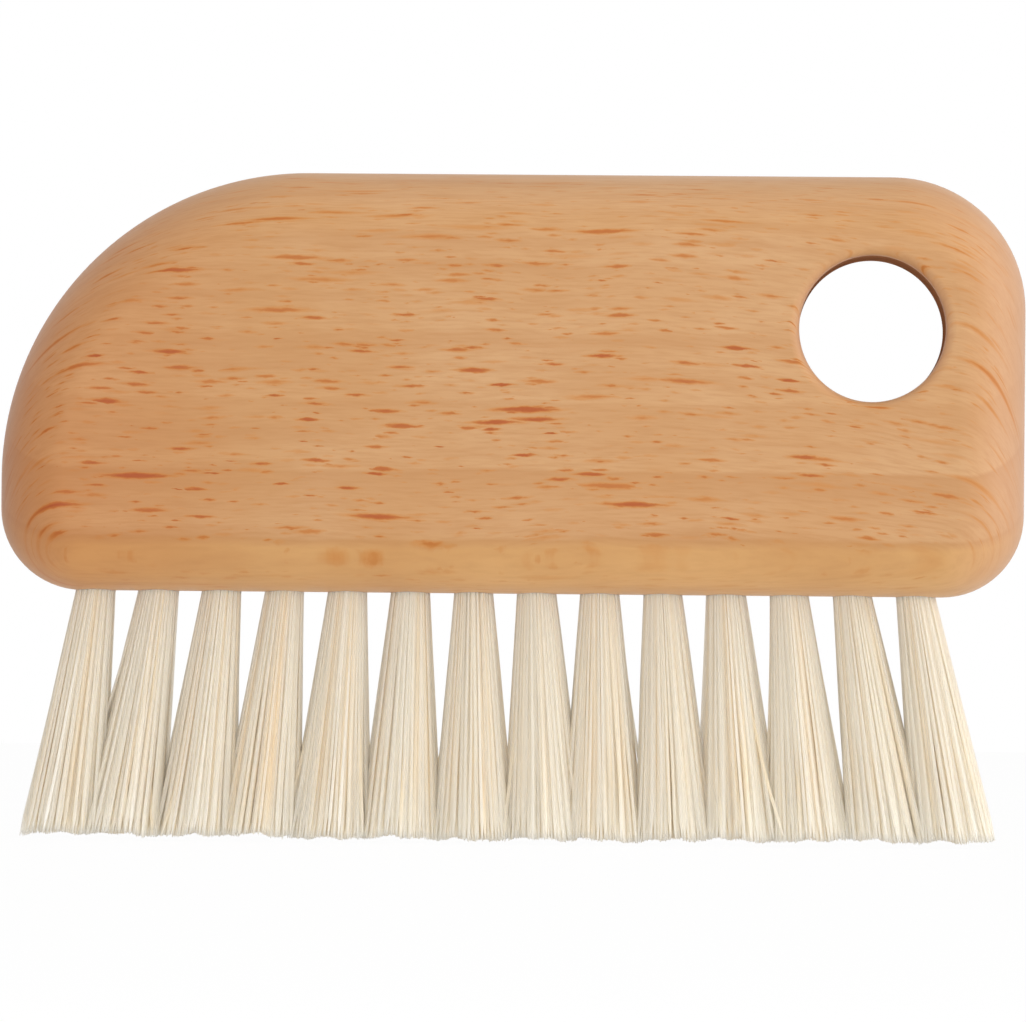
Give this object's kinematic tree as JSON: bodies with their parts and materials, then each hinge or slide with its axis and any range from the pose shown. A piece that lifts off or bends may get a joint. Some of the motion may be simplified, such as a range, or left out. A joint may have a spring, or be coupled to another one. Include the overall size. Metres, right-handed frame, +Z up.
{
  "type": "keyboard cleaning brush",
  "caption": "Small wooden keyboard brush: a rounded beech block with a swept nose and a hanging hole, with one fanned row of pale bristle tufts set in its lower edge.",
  "frame": {"origin": "on the plane of the bristle tips, under the middle of the handle", "axes": "+Z up, away from the bristle tips; +X along the handle towards the hanging hole; the broad faces look along -Y and +Y"},
  "size_m": [0.1, 0.016, 0.0655],
  "materials": {
    "beech": "sanded and oiled",
    "bristle": "natural bristle",
    "flat_wire": "drawn flat wire"
  },
  "bodies": {
    "root": {"handle": "beech", "tuft_01": "bristle", "tuft_02": "bristle", "tuft_03": "bristle", "tuft_04": "bristle", "tuft_05": "bristle", "tuft_06": "bristle", "tuft_07": "bristle", "tuft_08": "bristle", "tuft_09": "bristle", "tuft_10": "bristle", "tuft_11": "bristle", "tuft_12": "bristle", "tuft_13": "bristle", "tuft_14": "bristle", "anchor_01": "flat_wire", "anchor_02": "flat_wire", "anchor_03": "flat_wire", "anchor_04": "flat_wire", "anchor_05": "flat_wire", "anchor_06": "flat_wire", "anchor_07": "flat_wire", "anchor_08": "flat_wire", "anchor_09": "flat_wire", "anchor_10": "flat_wire", "anchor_11": "flat_wire", "anchor_12": "flat_wire", "anchor_13": "flat_wire", "anchor_14": "flat_wire"}
  },
  "joints": []
}
